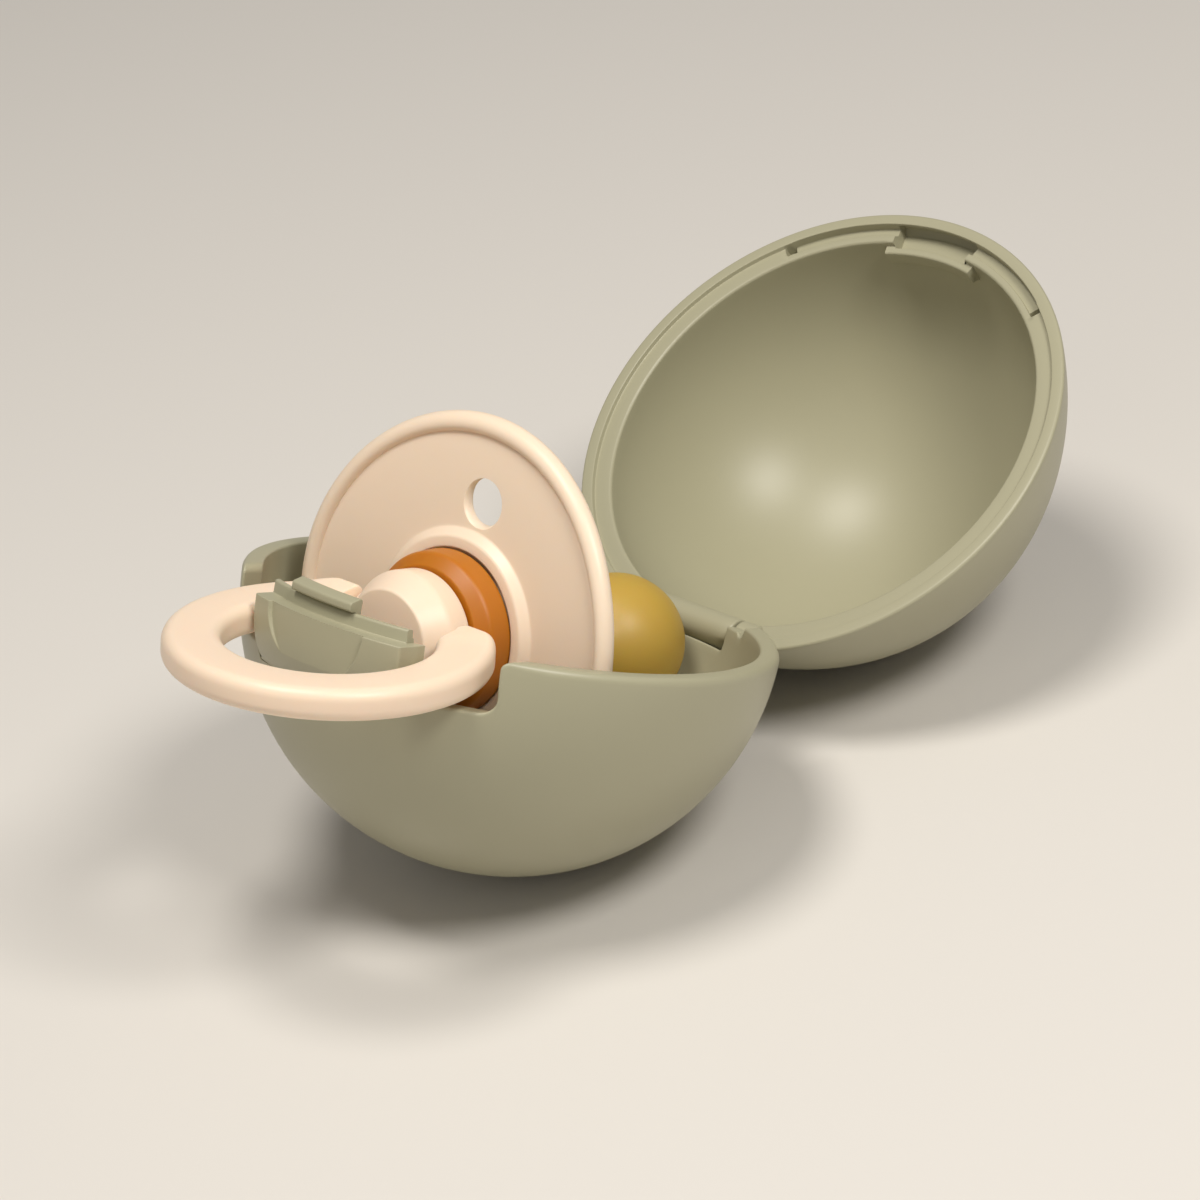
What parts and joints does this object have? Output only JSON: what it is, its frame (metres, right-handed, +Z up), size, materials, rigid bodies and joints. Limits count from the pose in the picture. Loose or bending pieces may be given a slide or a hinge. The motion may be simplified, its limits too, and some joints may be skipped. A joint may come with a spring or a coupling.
{
  "type": "pacifier case",
  "caption": "Ball-shaped pacifier case, open on its hinge, with a snap latch tab, slots for the ring and a pacifier lying in the bowl.",
  "frame": {"origin": "on the table under the middle of the open case's outline", "axes": "+X along the hinge, +Y from the latch to the lid, +Z up from the table"},
  "size_m": [0.057, 0.1164, 0.0497],
  "materials": {
    "case_plastic": "satin sage green",
    "pin_steel": "plain",
    "pacifier_plastic": "satin cream",
    "teat_rubber": "smooth amber"
  },
  "bodies": {
    "bowl": {"lower_shell": "case_plastic", "hinge_pin": "pin_steel"},
    "lid": {"lid_shell": "case_plastic"},
    "latch": {"latch_tab": "case_plastic"},
    "pacifier": {"pacifier_shield": "pacifier_plastic", "pacifier_teat": "teat_rubber", "pacifier_knob": "pacifier_plastic"},
    "ring": {"pacifier_ring": "pacifier_plastic"}
  },
  "joints": [
    {"name": "lid_hinge", "type": "hinge", "parent": "bowl", "child": "lid", "pos_m": [0, 0.00709, 0.01469], "axis": [1, 0, 0], "range_deg": [0, 126]},
    {"name": "latch_flex", "type": "hinge", "parent": "bowl", "child": "latch", "pos_m": [0, -0.04316, 0.03211], "axis": [-1, 0, 0], "range_deg": [0, 4], "stiffness_Nm_per_rad": 0.3},
    {"name": "pacifier_lift", "type": "slide", "parent": "bowl", "child": "pacifier", "axis": [0, 0.4184, 0.9083], "range_m": [0, 0.075]},
    {"name": "ring_swing", "type": "hinge", "parent": "pacifier", "child": "ring", "pos_m": [0, -0.03036, 0.03279], "axis": [1, 0, 0], "range_deg": [0, 80]}
  ],
  "couplings": [
    {"joint": "ring_swing", "follows": "pacifier_lift", "rad_per_m": 18.6}
  ]
}
